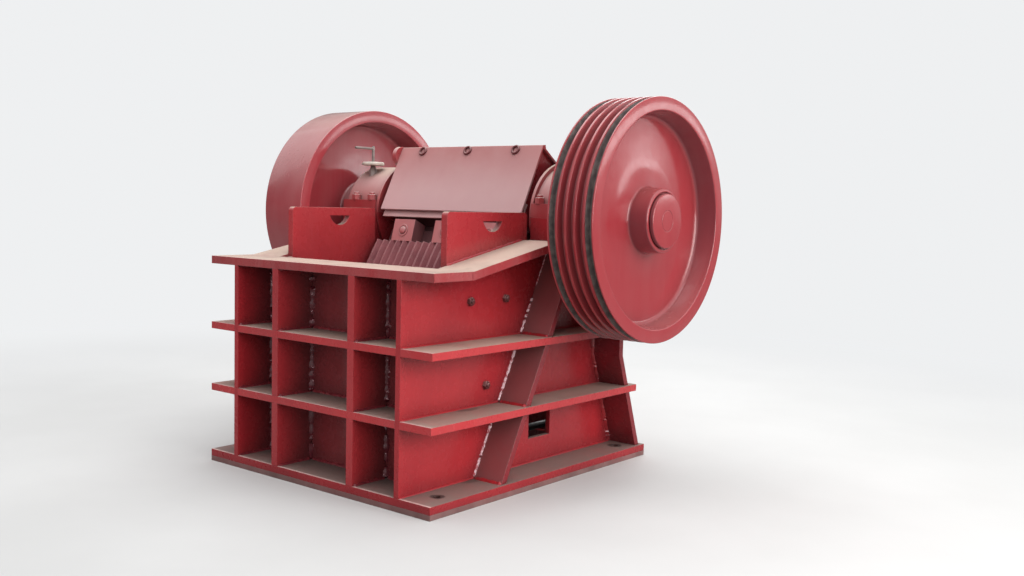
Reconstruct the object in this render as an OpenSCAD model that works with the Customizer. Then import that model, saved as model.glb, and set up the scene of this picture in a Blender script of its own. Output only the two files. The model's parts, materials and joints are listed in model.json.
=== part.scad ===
// Single toggle jaw crusher: welded box frame, swing jaw on an eccentric shaft, two heavy wheels.
// Lengths are in millimetres. X runs across, from the flywheel to the grooved wheel.
// Y runs from the front to the rear and Z up. The origin is on the floor, at the middle of the base bolts.
// Places along Y are given from the front edge of the base, and at_front() moves them to the origin.

/* [Frame] */
// Width over the two side plates
frame_w = 840; // [780:10:900]
// Thickness of a side plate
side_t = 20; // [16:1:24]
// How far the flanges stand out beyond the side plates
flange_over = 137; // [125:1:150]
// Thickness of the middle flanges
flange_t = 25; // [20:1:30]
// Thickness of the flange round the feed mouth
top_t = 28; // [22:1:32]
// Height of the lower flange above the base flange
low_flange_h = 246; // [235:1:260]
// Height of the upper flange above the base flange
high_flange_h = 475; // [460:1:490]
// Height of the feed flange above the base flange
feed_h = 717; // [705:1:730]
// Height of the bearing seats above the base flange
seat_h = 804; // [795:1:815]
// Rear end of the feed flange's slope, from the front
slope_end = 617; // [608:1:622]
// Depth of the bays in the front
bay_d = 155; // [140:1:165]
// Thickness of the front wall
wall_t = 30; // [24:1:36]
// Thickness of the front ribs
rib_t = 30; // [24:1:36]
// Distance of a front rib from the middle
rib_x = 192; // [175:1:210]

/* [Base] */
// Length of the base, front to rear
base_l = 1222; // [1200:1:1260]
// Thickness of the base flange
base_t = 25; // [20:1:30]
// Thickness of the sole plate under the base flange
sole_t = 18; // [12:1:24]
// Distance of the base bolts from the front and rear edges
bolt_in = 105; // [95:1:110]
// Radius of a base bolt hole
bolt_r = 13; // [11:0.5:14]

/* [Side plates] */
// Foot of the sloping rear edge
rear_foot = 1201; // [1190:1:1210]
// Upright part of the rear edge
rear_top = 1070; // [1060:1:1080]
// Lean of the rear edge, run over rise
rear_lean = 0.36; // [0.33:0.01:0.39]
// Foot of the sloping stiffener
stiff_foot = 357; // [340:1:370]
// Lean of the stiffener, run over rise
stiff_lean = 0.5; // [0.47:0.01:0.52]
// Thickness of the stiffeners
stiff_t = 25; // [20:1:28]
// Gap between a stiffener's free edge and the flange edge
stiff_back = 13; // [8:1:20]
// Window in the side plate, front edge
window_y = 655; // [645:1:665]
// Window length
window_l = 126; // [110:1:135]
// Window height
window_h = 93; // [80:1:100]
// Window sill above the base flange
window_z = 88; // [80:1:100]

/* [Cheek plates] */
// Thickness of a cheek plate
cheek_t = 25; // [20:1:30]
// Front edge of a cheek plate above the feed flange
cheek_y = 225; // [218:1:232]
// Length of a cheek plate above the feed flange
cheek_l = 418; // [408:1:422]
// Top of a cheek plate above the base flange
cheek_h = 901; // [893:1:905]
// Radius of a cheek plate's corners
cheek_r = 14; // [8:1:22]
// Length of a cheek plate at its foot
cheek_foot = 250; // [230:1:270]
// Depth of its full length below the feed flange
cheek_skirt = 120; // [100:1:140]
// Distance of the lifting hole behind the cheek plate's front edge
hole_back = 230; // [220:1:240]
// Top of the lifting hole below the top of the cheek plate
hole_in = 31; // [26:1:36]
// Width of the lifting hole
hole_w = 100; // [90:1:110]
// Depth of the lifting hole
hole_d = 36; // [30:1:40]

/* [Shaft and wheels] */
// Shaft axis from the front edge
shaft_y = 872; // [866:1:878]
// Shaft axis above the bearing seats
seat_rise = 80; // [77:1:84]
// Throw of the eccentric
throw = 10; // [6:1:12]
// Radius of the shaft in its bearings
journal_r = 78; // [72:1:82]
// Radius of the shaft in the wheels
seat_r = 68; // [60:1:70]
// Radius of the eccentric
ecc_r = 92; // [90:1:96]
// Outer radius of both wheels
wheel_r = 427; // [415:1:440]
// Distance of a wheel's outer face from the middle
wheel_x = 820; // [810:1:830]
// Width of the grooved rim
pulley_w = 183; // [180:1:195]
// Width of the flywheel rim
flywheel_w = 222; // [210:1:230]
// Radial thickness of a rim
rim_t = 48; // [44:1:56]
// Thickness of a web
web_t = 32; // [26:1:38]
// Depth of the web behind the outer face of the rim
web_in = 80; // [70:1:86]
// Radius of a wheel hub
hub_r = 115; // [108:1:122]
// How far a hub stands out beyond the rim
hub_out = 6; // [2:1:12]
// Gap between a hub and the bearing cover
hub_gap = 16; // [12:1:20]
// Radius of the raised ring of a web round its hub
boss_r = 180; // [170:1:190]
// Thickness of the caps on the shaft's ends
cap_t = 12; // [8:1:16]
// Number of belt grooves
grooves = 5; // [3:1:5]
// Distance between belt grooves
groove_pitch = 36; // [34:0.5:37]
// Width of a groove at the rim
groove_w = 28; // [24:0.5:30]
// Depth of a groove
groove_d = 22; // [18:0.5:26]
// Half angle of a groove
groove_a = 18; // [16:0.5:19]

/* [Bearing housings] */
// Radius of the housing barrel
housing_r = 188; // [182:1:192]
// How far a housing stands out beyond the flanges
housing_out = 30; // [24:1:36]
// Half length of the housing feet
foot_half = 208; // [204:1:212]
// Thickness of the cap's feet
cap_foot = 50; // [40:1:56]
// Radius of the inner end flange
collar_r = 203; // [198:1:206]
// Thickness of the end flanges
collar_t = 12; // [8:1:14]
// Radius of the outer bearing cover
cover_r = 140; // [130:1:150]

/* [Jaws] */
// Top of the swing jaw plate ahead of the shaft
jaw_ahead = 245; // [241:1:249]
// Top of the swing jaw plate below the shaft
jaw_under = 105; // [101:1:109]
// Lean of the swing jaw from upright
jaw_lean = 24; // [23.5:0.1:24.5]
// Length of the swing jaw plate
jaw_l = 787; // [770:1:795]
// How far its toothed face bulges at mid height
jaw_crown = 31; // [22:1:36]
// Thickness of a jaw plate over its teeth
plate_t = 55; // [50:1:60]
// Depth of the teeth
tooth_d = 16; // [12:1:20]
// Number of teeth
teeth = 20; // [16:1:24]
// Side clearance of the jaw plates
jaw_gap = 15; // [10:0.5:18]
// Face of the fixed jaw teeth, from the front
fixed_y = 250; // [246:1:254]
// Foot of the fixed jaw plate above the base flange
jaw_rest = 20; // [14:1:26]
// Radius of the swing jaw's bearing barrel
barrel_r = 146; // [140:1:148]
// Distance of the swing jaw's body from a side plate
body_gap = 60; // [52:1:70]
// Thickness of the swing jaw's front plate
body_t = 40; // [34:1:46]
// Thickness of the swing jaw's ribs
jaw_rib_t = 30; // [24:1:36]
// How far the body reaches above the toothed plate
body_over = 67; // [60:1:74]
// Thickness of the ledge under the toothed plate
toe_t = 12; // [10:1:14]
// Half height of the neck between the body and the barrel
neck_half = 60; // [54:1:64]
// Distance between the wedge blocks
wedge_pitch = 218; // [210:1:224]
// Width of a wedge block
wedge_w = 111; // [100:1:116]
// Height of a wedge block along the jaw
wedge_h = 86; // [80:1:88]
// How much steeper than the jaw a wedge block's face is
wedge_lean = 9; // [6:0.5:10]

/* [Hood] */
// Distance of the hood from a side plate
hood_gap = 40; // [34:1:44]
// Lower front edge ahead of the shaft
hood_ahead = 215; // [211:1:219]
// Lower front edge above the shaft
hood_rise = 15; // [12:1:18]
// Ridge ahead of the shaft
ridge_ahead = 94; // [88:1:100]
// Ridge above the shaft
ridge_rise = 263; // [256:1:270]
// Lower rear edge behind the shaft
hood_rear = 73; // [64:1:78]
// Fall of the rear slope
hood_fall = 0.7; // [0.66:0.01:0.72]
// Thickness of the hood sheet
hood_t = 8; // [6:1:10]
// Length of the folded edge behind the ridge
fold_l = 18; // [14:1:22]
// Radius of the round ear at the ridge's left end
ear_r = 38; // [32:1:42]
// Thickness of that ear
ear_t = 20; // [14:1:24]
// Distance of the guard sheet behind the face of the hood
guard_in = 19; // [16:1:24]
// How far the guard sheet shows below the hood
guard_out = 22; // [16:1:26]
// How far the guard sheet reaches up behind the hood
guard_up = 46; // [36:1:56]
// Distance of an outer lifting ring from the middle
ring_x = 238; // [225:1:250]
// Distance of the rings below the ridge
ring_down = 18; // [16:1:24]
// Mean radius of a lifting ring
ring_r = 15; // [12:1:18]
// Radius of a lifting ring's bar
ring_bar = 4.5; // [3.5:0.5:6]

/* [Toggle] */
// Front end of the toggle plate, from the front
toggle_front = 520; // [516:1:524]
// Rear end of the toggle plate
toggle_rear = 900; // [890:1:905]
// Height of the toggle beam
beam_h = 150; // [140:1:160]
// Toggle axis above the base flange, front end
toggle_front_h = 172; // [168:1:176]
// Toggle axis above the base flange, rear end
toggle_rear_h = 222; // [216:1:228]
// Width of the toggle plate
toggle_w = 560; // [520:1:600]
// Thickness of the toggle plate
toggle_t = 34; // [28:1:38]
// Radius of the toggle plate's ends
toggle_r = 24; // [20:1:26]
// Half height of a toggle seat
seat_high = 58; // [54:1:62]
// Thickness of the front toggle seat behind its groove
seat_back = 30; // [24:1:32]
// Thickness of the rear toggle seat behind its groove
rear_back = 32; // [26:1:34]
// Number of shims behind the rear toggle seat
shims = 3; // [1:1:3]
// Thickness of a shim
shim_t = 10; // [6:1:12]
// Thickness of the block that carries the front toggle seat
block_t = 32; // [26:1:36]

/* [Tension rods] */
// Distance of a tension rod from the middle
rod_x = 200; // [190:1:206]
// Distance between the two jaw ribs beside a rod
rib_pair = 190; // [180:1:196]
// Height of the rods above the base flange
rod_h = 55; // [52:1:58]
// Radius of a rod
rod_r = 14; // [12:0.5:16]
// Radius of the pin that pulls a rod
pin_r = 12; // [10:0.5:13]
// Distance of the spring bracket ahead of the side plates' rear corner
lug_in = 72; // [66:1:80]
// Thickness of the spring bracket
lug_t = 25; // [20:1:30]
// Length of a spring
spring_l = 162; // [145:1:180]
// Thickness of the washer behind a spring
washer_t = 12; // [8:1:14]
// Thickness of the nut behind it
nut_t = 24; // [20:1:28]
// Length of the bare rod end behind the nut
rod_tail = 19; // [14:1:26]
// Mean radius of a spring
spring_r = 38; // [34:1:42]
// Radius of the spring wire
wire_r = 7; // [5:0.5:8]
// Turns of a spring
spring_turns = 6; // [5:1:7]

/* [Hidden] */
$fn = 96;
// Radial clearance of a shaft in its hole
run_fit = 0.06;
// Gap left where rounded pieces seat
seat_gap = 0.3;
base_z = sole_t + base_t;
half_w = frame_w / 2;
inner_half = half_w - side_t;
flange_half = half_w + flange_over;
stiff_half = flange_half - stiff_back;
low_z = base_z + low_flange_h;
high_z = base_z + high_flange_h;
feed_z = base_z + feed_h;
seat_z = base_z + seat_h;
cheek_z = base_z + cheek_h;
shaft_z = seat_z + seat_rise;
wall_y = bay_d + wall_t;
seat_y = slope_end + 12;
cheek_end = cheek_y + cheek_l;
chamber_half = inner_half - cheek_t;
plate_half = chamber_half - jaw_gap;
barrel_half = inner_half - body_gap;
hood_half = inner_half - hood_gap;
jaw_y = shaft_y - jaw_ahead;
jaw_z = shaft_z - jaw_under;
jaw_back = plate_t + body_t;
ecc_y = shaft_y + throw;
hood_y = shaft_y - hood_ahead;
hood_z = shaft_z + hood_rise;
ridge_y = shaft_y - ridge_ahead;
ridge_z = shaft_z + ridge_rise;
hood_rear_y = shaft_y + hood_rear;
hood_lean = atan((ridge_y - hood_y) / (ridge_z - hood_z));
hood_l = norm([ridge_y - hood_y, ridge_z - hood_z]);
housing_end = flange_half + housing_out;
hub_in = housing_end + collar_t + hub_gap;
hub_end = wheel_x + hub_out;
beam_front = toggle_rear + rear_back + shims * shim_t;
beam_t = 90;
block_end = toggle_front - seat_back;
block_half = toggle_w / 2 + 35;
lug_y = rear_foot - lug_in;
rod_z = base_z + rod_h;
block_low = base_z + toggle_front_h - seat_high - 2;
block_high = base_z + toggle_front_h + seat_high + 2;
pin_y = block_end - 25;
red = "#b4323b";
dark_red = "#8c2a32";
steel = "#7d7471";

// Rear edge of the side plates at a height
function rear_at(z) = max(rear_top, rear_foot - rear_lean * (z - base_z));
// Front face of the sloping stiffener at a height
function stiff_at(z) = stiff_foot + stiff_lean * (z - base_z);

// A place on the swing jaw, by its depth behind the top of the toothed face and its height over that top
function jaw_point(deep, up) = [
    jaw_y + deep * cos(jaw_lean) + up * sin(jaw_lean), jaw_z - deep * sin(jaw_lean) + up * cos(jaw_lean)
];
// Rear face of the swing jaw's body at a height
function body_rear(z) = jaw_y + jaw_back / cos(jaw_lean) + (z - jaw_z) * tan(jaw_lean);
// A place on the hood, by its depth behind the front sheet and its height over the lower edge
function hood_point(deep, up) = [
    hood_y + deep * cos(hood_lean) + up * sin(hood_lean), hood_z - deep * sin(hood_lean) + up * cos(hood_lean)
];

module at_front() {
    translate([0, -base_l / 2, 0]) children();
}

// Extrudes an outline drawn in Y and Z between two places across the machine
module across(x0, x1) {
    translate([x0, -base_l / 2, 0]) rotate([90, 0, 90]) linear_extrude(x1 - x0) children();
}

// A box from its lowest to its highest corner, with Y from the front edge
module block(low, high) {
    at_front() translate(low) cube(high - low);
}

// The same piece on the left and on the right
module both() {
    children();
    mirror([1, 0, 0]) children();
}

// A round piece about an axis that runs across the machine
module turned(y, z) {
    translate([0, y - base_l / 2, z]) rotate([0, 90, 0]) children();
}

// Local frame of the swing jaw: Y goes into the jaw and Z up along its face
module on_jaw() {
    at_front() translate([0, jaw_y, jaw_z]) rotate([-jaw_lean, 0, 0]) children();
}

module base_holes() {
    for (x = [-1, 1], y = [bolt_in, base_l - bolt_in])
        at_front() translate([x * (half_w + flange_over / 2), y, -1]) cylinder(r = bolt_r, h = base_z + 2);
}

module base_ring(z0, z1, side_in, rear_w) {
    difference() {
        block([-flange_half, 0, z0], [flange_half, base_l, z1]);
        block([-side_in, wall_y, z0 - 1], [side_in, base_l - rear_w, z1 + 1]);
        base_holes();
    }
}

module sole_plate() {
    color(dark_red) base_ring(0, sole_t, inner_half + 10, 92);
}

module base_flange() {
    color(red) base_ring(sole_t, base_z, inner_half, 102);
}

// Outline of an upright plate whose upper corners are round
module round_top(y0, y1, z0, z1, r) {
    translate([y0, z0]) square([y1 - y0, z1 - z0 - r]);
    translate([y0 + r, z0]) square([y1 - y0 - 2 * r, z1 - z0]);
    for (y = [y0 + r, y1 - r]) translate([y, z1 - r]) circle(r);
}

module side_outline() {
    difference() {
        polygon([
            [0, base_z], [rear_foot, base_z], [rear_top, base_z + (rear_foot - rear_top) / rear_lean],
            [rear_top, seat_z - top_t], [slope_end, seat_z - top_t], [wall_y, feed_z - top_t], [0, feed_z - top_t]
        ]);
        translate([window_y, base_z + window_z]) square([window_l, window_h]);
        translate([shaft_y, shaft_z]) circle(housing_r + seat_gap);
    }
}

module side_plate_left() {
    color(red) across(-half_w, -inner_half) side_outline();
}

module side_plate_right() {
    color(red) across(inner_half, half_w) side_outline();
}

module front_wall() {
    color(red) block([-inner_half, bay_d, base_z], [inner_half, wall_y, feed_z - top_t]);
}

module front_ribs() {
    color(red)
        for (span = [[base_z, low_z - flange_t], [low_z, high_z - flange_t], [high_z, feed_z - top_t]],
             x = [-rib_x, rib_x])
            block([x - rib_t / 2, 0, span[0]], [x + rib_t / 2, bay_d, span[1]]);
}

module middle_flange(z) {
    block([-inner_half, 0, z - flange_t], [inner_half, bay_d, z]);
    both() across(half_w, flange_half)
        polygon([[0, z - flange_t], [rear_at(z) + 38, z - flange_t], [rear_at(z) + 38, z], [0, z]]);
}

module lower_flange() {
    color(red) middle_flange(low_z);
}

module upper_flange() {
    color(red) middle_flange(high_z);
}

module feed_flange() {
    color(red) {
        block([-flange_half, 0, feed_z - top_t], [flange_half, wall_y, feed_z]);
        both() across(inner_half, flange_half)
            polygon([
                [wall_y - 1, feed_z - top_t], [wall_y, feed_z - top_t], [slope_end, seat_z - top_t],
                [seat_y, seat_z - top_t], [seat_y, seat_z], [slope_end, seat_z],
                [wall_y, feed_z], [wall_y - 1, feed_z]
            ]);
    }
}

module bearing_seat() {
    difference() {
        block([inner_half, seat_y, seat_z - top_t], [flange_half, rear_top + 20, seat_z]);
        across(inner_half - 1, flange_half + 1) translate([shaft_y, shaft_z]) circle(housing_r + seat_gap);
    }
}

module bearing_seat_right() {
    color(red) bearing_seat();
}

module bearing_seat_left() {
    color(red) mirror([1, 0, 0]) bearing_seat();
}

module front_stiffeners() {
    color(red)
        both()
            for (span = [[base_z, low_z - flange_t], [low_z, high_z - flange_t], [high_z, seat_z - top_t]])
                across(half_w, stiff_half) difference() {
                    polygon([
                        [stiff_at(span[0]), span[0]], [stiff_at(span[0]) + stiff_t, span[0]],
                        [stiff_at(span[1]) + stiff_t, span[1]], [stiff_at(span[1]), span[1]]
                    ]);
                    translate([shaft_y, shaft_z]) circle(housing_r + seat_gap);
                }
}

module rear_stiffeners() {
    bend = base_z + (rear_foot - rear_top) / rear_lean;
    color(red)
        both() {
            for (span = [[base_z, low_z - flange_t], [high_z, seat_z - top_t]])
                across(half_w, stiff_half)
                    polygon([
                        [rear_at(span[0]) - stiff_t, span[0]], [rear_at(span[0]), span[0]],
                        [rear_at(span[1]), span[1]], [rear_at(span[1]) - stiff_t, span[1]]
                    ]);
            across(half_w, stiff_half)
                polygon([
                    [rear_at(low_z) - stiff_t, low_z], [rear_at(low_z), low_z], [rear_top, bend],
                    [rear_top, high_z - flange_t], [rear_top - stiff_t, high_z - flange_t],
                    [rear_top - stiff_t, bend]
                ]);
        }
}

module rear_wall() {
    color(red)
        block([-inner_half, rear_top - 2 * stiff_t, high_z - 40],
            [inner_half, rear_top - stiff_t, seat_z - top_t - 40]);
}

module toggle_beam() {
    low = base_z + toggle_rear_h - beam_h / 2;
    high = low + beam_h;
    color(red) difference() {
        block([-inner_half, beam_front, low], [inner_half, beam_front + beam_t, high]);
        block([-inner_half + 60, beam_front + 30, low + 28], [inner_half - 60, beam_front + beam_t + 1, high - 28]);
    }
}

module toggle_seat_rear() {
    z = base_z + toggle_rear_h;
    side = toggle_w / 2 + 20;
    color(steel) difference() {
        block([-side, toggle_rear - 22, z - seat_high], [side, toggle_rear + rear_back, z + seat_high]);
        block([-side - 1, toggle_rear - 23, z - seat_high + 16], [side + 1, toggle_rear, z + seat_high - 16]);
    }
}

module adjusting_shims() {
    z = base_z + toggle_rear_h;
    first = toggle_rear + rear_back;
    color(steel)
        for (i = [0:shims - 1])
            block([-toggle_w / 2, first + shim_t * i, z - seat_high],
                [toggle_w / 2, first + shim_t * (i + 1) - seat_gap, z + seat_high - 8]);
}

module toggle_plate() {
    front_c = [toggle_front + toggle_r, base_z + toggle_front_h];
    rear_c = [toggle_rear - toggle_r - seat_gap, base_z + toggle_rear_h];
    run = rear_c - front_c;
    color(steel) across(-toggle_w / 2, toggle_w / 2) {
        translate(front_c) circle(toggle_r);
        translate(rear_c) circle(toggle_r);
        translate(front_c) rotate(atan2(run[1], run[0])) translate([0, -toggle_t / 2]) square([norm(run), toggle_t]);
    }
}

module spring_bracket() {
    color(red) difference() {
        block([-inner_half, lug_y, base_z], [inner_half, lug_y + lug_t, rod_z + 55]);
        both() rod_axis() translate([0, 0, lug_y - 1]) cylinder(r = rod_r + 3, h = lug_t + 2);
    }
}

module rod_axis() {
    at_front() translate([rod_x, 0, rod_z]) rotate([-90, 0, 0]) children();
}

module tension_rods() {
    eye_y = pin_y - throw;
    eye_in = pin_r + throw + 2;
    tail = lug_y + lug_t + spring_l;
    rod_end = tail + washer_t + nut_t + rod_tail;
    color(steel)
        both() {
            difference() {
                union() {
                    rod_axis() translate([0, 0, eye_y + eye_in]) cylinder(r = rod_r, h = rod_end - eye_y - eye_in);
                    across(rod_x - 14, rod_x + 14) translate([eye_y, rod_z]) circle(eye_in + 10);
                }
                across(rod_x - 15, rod_x + 15) translate([eye_y, rod_z]) circle(eye_in);
            }
            rod_axis() translate([0, 0, tail]) cylinder(r = spring_r + washer_t, h = washer_t);
            rod_axis() translate([0, 0, tail + washer_t]) cylinder(r = rod_r * 1.9, h = nut_t, $fn = 6);
        }
}

// Points of one ring of the spring wire, with the wire's own circle turned to face along the coil
function wire_ring(t, turns, length) = [
    for (k = [0:7])
        let (a = 360 * turns * t, b = 45 * k)
        [(spring_r + wire_r * cos(b)) * cos(a), (spring_r + wire_r * cos(b)) * sin(a),
            wire_r * (1 + sin(b)) + (length - 2 * wire_r) * t]
];

module coil(turns, length) {
    steps = 14 * turns;
    points = [for (i = [0:steps]) each wire_ring(i / steps, turns, length)];
    sides = [
        for (i = [0:steps - 1], k = [0:7])
            [8 * i + k, 8 * i + (k + 1) % 8, 8 * (i + 1) + (k + 1) % 8, 8 * (i + 1) + k]
    ];
    ends = [[for (k = [7:-1:0]) k], [for (k = [0:7]) 8 * steps + k]];
    polyhedron(points, concat(sides, ends));
}

module spring() {
    rod_axis() translate([0, 0, lug_y + lug_t]) coil(spring_turns, spring_l);
}

module spring_right() {
    color(steel) spring();
}

module spring_left() {
    color(steel) mirror([1, 0, 0]) spring();
}

// Outline of a toothed plate seen along its teeth: crests at Y 0, back at the plate's thickness
function tooth_outline(half, shift) = concat(
    [[-half, plate_t], [-half, tooth_d]],
    [
        for (i = [0:teeth - 1], p = [[0.08, 1], [0.41, 0], [0.59, 0], [0.92, 1]])
            [-half + (i + p[0]) * 2 * half / teeth, shift ? tooth_d * p[1] : tooth_d * (1 - p[1])]
    ],
    [[half, tooth_d], [half, plate_t]]
);

module fixed_jaw_plate() {
    color(steel)
        at_front() translate([0, fixed_y, base_z + jaw_rest])
            linear_extrude(feed_h - top_t - jaw_rest + 18)
                polygon([
                    for (p = tooth_outline(plate_half, false))
                        [p[0], p[1] > tooth_d ? wall_y - fixed_y : -p[1]]
                ]);
}

// Hole that is flat on top and round below
module lifting_hole() {
    r = (hole_w * hole_w / 4 + hole_d * hole_d) / (2 * hole_d);
    translate([cheek_y + hole_back, cheek_z - hole_in]) intersection() {
        translate([0, r - hole_d]) circle(r);
        translate([-hole_w, -hole_w]) square([2 * hole_w, hole_w]);
    }
}

module cheek_outline() {
    difference() {
        union() {
            polygon([
                [wall_y, base_z + jaw_rest], [wall_y + cheek_foot, base_z + jaw_rest],
                [cheek_end, feed_z - cheek_skirt], [cheek_end, feed_z], [cheek_y, feed_z],
                [wall_y, feed_z - top_t]
            ]);
            round_top(cheek_y, cheek_end, feed_z - cheek_skirt, cheek_z, cheek_r);
        }
        lifting_hole();
    }
}

module cheek_plate_right() {
    color(red) across(chamber_half, inner_half) cheek_outline();
}

module cheek_plate_left() {
    color(red) mirror([1, 0, 0]) across(chamber_half, inner_half) cheek_outline();
}

module shaft_bore() {
    turned(shaft_y, shaft_z) cylinder(r = journal_r + run_fit, h = wheel_x + 100, $fn = 128);
}

// Housing with its feet between two heights
module housing_half(low, high, foot_low, foot_high) {
    difference() {
        union() {
            turned(shaft_y, shaft_z) translate([0, 0, inner_half]) cylinder(r = housing_r, h = housing_end - inner_half);
            turned(shaft_y, shaft_z) translate([0, 0, inner_half - collar_t]) cylinder(r = collar_r, h = collar_t);
            block([inner_half, shaft_y - foot_half, foot_low], [housing_end, shaft_y + foot_half, foot_high]);
        }
        block([0, 0, low], [wheel_x, base_l, high]);
        shaft_bore();
    }
}

module bearing_base() {
    housing_half(shaft_z, shaft_z + housing_r + collar_r, seat_z, shaft_z);
}

module bearing_cap() {
    housing_half(shaft_z - housing_r - collar_r, shaft_z, shaft_z, shaft_z + cap_foot);
}

module bearing_base_right() {
    color(red) bearing_base();
}

module bearing_base_left() {
    color(red) mirror([1, 0, 0]) bearing_base();
}

module bearing_cap_right() {
    color(red) bearing_cap();
}

module bearing_cap_left() {
    color(red) mirror([1, 0, 0]) bearing_cap();
}

module bearing_cover() {
    difference() {
        turned(shaft_y, shaft_z) translate([0, 0, housing_end]) cylinder(r = cover_r, h = collar_t);
        shaft_bore();
    }
}

module bearing_cover_right() {
    color(dark_red) bearing_cover();
}

module bearing_cover_left() {
    color(dark_red) mirror([1, 0, 0]) bearing_cover();
}

module eccentric_shaft() {
    color(steel) {
        turned(shaft_y, shaft_z) translate([0, 0, -hub_in]) cylinder(r = journal_r, h = 2 * hub_in, $fn = 128);
        turned(shaft_y, shaft_z) translate([0, 0, -hub_end]) cylinder(r = seat_r, h = 2 * hub_end, $fn = 128);
        turned(ecc_y, shaft_z) translate([0, 0, -barrel_half]) cylinder(r = ecc_r, h = 2 * barrel_half, $fn = 128);
    }
}

// Half section of a wheel: radius first, then the distance from the middle of the machine
module wheel_section(width) {
    inner = wheel_r - rim_t;
    web = wheel_x - web_in;
    polygon([
        [seat_r + run_fit, hub_in], [hub_r, hub_in], [hub_r + 4, web - web_t],
        [inner - 12, web - web_t], [inner, wheel_x - width], [wheel_r, wheel_x - width],
        [wheel_r, wheel_x], [inner, wheel_x], [inner - 12, web], [boss_r, web], [boss_r - 8, web + 5],
        [hub_r + 12, web + 5], [hub_r, web + 17], [hub_r - 3, hub_end], [seat_r + run_fit, hub_end]
    ]);
}

module groove_section(x) {
    foot = groove_w - 2 * groove_d * tan(groove_a);
    polygon([
        [wheel_r + 1, x - groove_w / 2], [wheel_r - groove_d, x - foot / 2],
        [wheel_r - groove_d, x + foot / 2], [wheel_r + 1, x + groove_w / 2]
    ]);
}

module grooved_pulley() {
    middle = wheel_x - pulley_w / 2;
    color(red) turned(shaft_y, shaft_z)
        rotate_extrude($fn = 128) difference() {
            wheel_section(pulley_w);
            for (i = [0:grooves - 1]) groove_section(middle + (i - (grooves - 1) / 2) * groove_pitch);
        }
}

module flywheel() {
    color(red) mirror([1, 0, 0]) turned(shaft_y, shaft_z)
        rotate_extrude($fn = 128) wheel_section(flywheel_w);
}

module shaft_cap() {
    turned(shaft_y, shaft_z) translate([0, 0, hub_end]) cylinder(r = hub_r - 20, h = cap_t);
}

module shaft_cap_right() {
    color(red) shaft_cap();
}

module shaft_cap_left() {
    color(red) mirror([1, 0, 0]) shaft_cap();
}

// Lower rear corner of the neck, inside the barrel
neck_foot = [ecc_y - 0.41 * barrel_r, shaft_z - 0.75 * barrel_r];

// Neck between the bearing barrel and the front plate
module neck_outline() {
    sunk = body_t / 2;
    polygon([
        jaw_point(jaw_back - sunk, neck_half), [ecc_y - 0.75 * barrel_r, shaft_z - 20],
        neck_foot, jaw_point(jaw_back, -neck_half), jaw_point(jaw_back - sunk, -neck_half)
    ]);
}

module swing_jaw() {
    color(red)
        difference() {
            union() {
                turned(ecc_y, shaft_z) translate([0, 0, -barrel_half]) cylinder(r = barrel_r, h = 2 * barrel_half);
                on_jaw() translate([-barrel_half, plate_t, -jaw_l - toe_t])
                    cube([2 * barrel_half, body_t, jaw_l + toe_t + body_over]);
                on_jaw() translate([-barrel_half, 10, -jaw_l - toe_t]) cube([2 * barrel_half, plate_t, toe_t]);
                across(10 - barrel_half, barrel_half - 10) neck_outline();
                block([-block_half, block_end - block_t, block_low], [block_half, block_end, block_high]);
            }
            turned(ecc_y, shaft_z) translate([0, 0, -barrel_half - 1])
                cylinder(r = ecc_r + run_fit, h = 2 * barrel_half + 2, $fn = 128);
        }
}

// Rib between the barrel and the toggle block, and its short end under that block
module swing_rib_outline() {
    foot = block_high + 2;
    difference() {
        polygon([
            jaw_point(jaw_back, -neck_half), neck_foot, [ecc_y + barrel_r - 25, shaft_z - 70],
            [body_rear(foot) + 40, foot], [body_rear(foot), foot]
        ]);
        translate([ecc_y, shaft_z]) circle(barrel_r + seat_gap);
    }
    polygon([
        [body_rear(block_low), block_low], [block_end, block_low], [block_end, rod_z - 24],
        [pin_y - 35, rod_z - 24], jaw_point(jaw_back, 15 - jaw_l)
    ]);
}

// Four ribs behind the front plate, with the pins that pull the rods between them
module swing_jaw_ribs() {
    rib_in = rod_x - rib_pair / 2;
    rib_out = rod_x + rib_pair / 2;
    color(red)
        both() {
            for (x = [rib_in, rib_out])
                across(x - jaw_rib_t / 2, x + jaw_rib_t / 2) swing_rib_outline();
            across(rib_in - jaw_rib_t, rib_out + jaw_rib_t) translate([pin_y, rod_z]) circle(pin_r);
        }
}

// Toothed plate with a flat back and a face that bulges along an arc
module swing_jaw_plate() {
    bend_r = (jaw_l * jaw_l / 4 + jaw_crown * jaw_crown) / (2 * jaw_crown);
    color(steel) on_jaw() intersection() {
        translate([0, bend_r - jaw_crown, -jaw_l / 2]) rotate([0, 90, 0])
            rotate_extrude($fn = 720)
                polygon([
                    for (p = tooth_outline(plate_half, true))
                        [bend_r - (p[1] > tooth_d ? jaw_crown + plate_t + tooth_d : p[1]), p[0]]
                ]);
        translate([-plate_half - 1, -jaw_crown - 1, -jaw_l])
            cube([2 * plate_half + 2, jaw_crown + 1 + plate_t, jaw_l]);
    }
}

module jaw_wedges() {
    color(red)
        for (i = [-1:1])
            across(i * wedge_pitch - wedge_w / 2, i * wedge_pitch + wedge_w / 2)
                polygon([
                    jaw_point(6, 0), jaw_point(plate_t, 0), jaw_point(plate_t, wedge_h),
                    jaw_point(6 - wedge_h * tan(wedge_lean), wedge_h)
                ]);
}

module guard_bar() {
    color(red)
        across(-barrel_half - 15, barrel_half + 15)
            polygon([
                hood_point(guard_in, -guard_out), hood_point(guard_in, guard_up),
                hood_point(guard_in + hood_t, guard_up), hood_point(guard_in + hood_t, -guard_out)
            ]);
}

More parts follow.
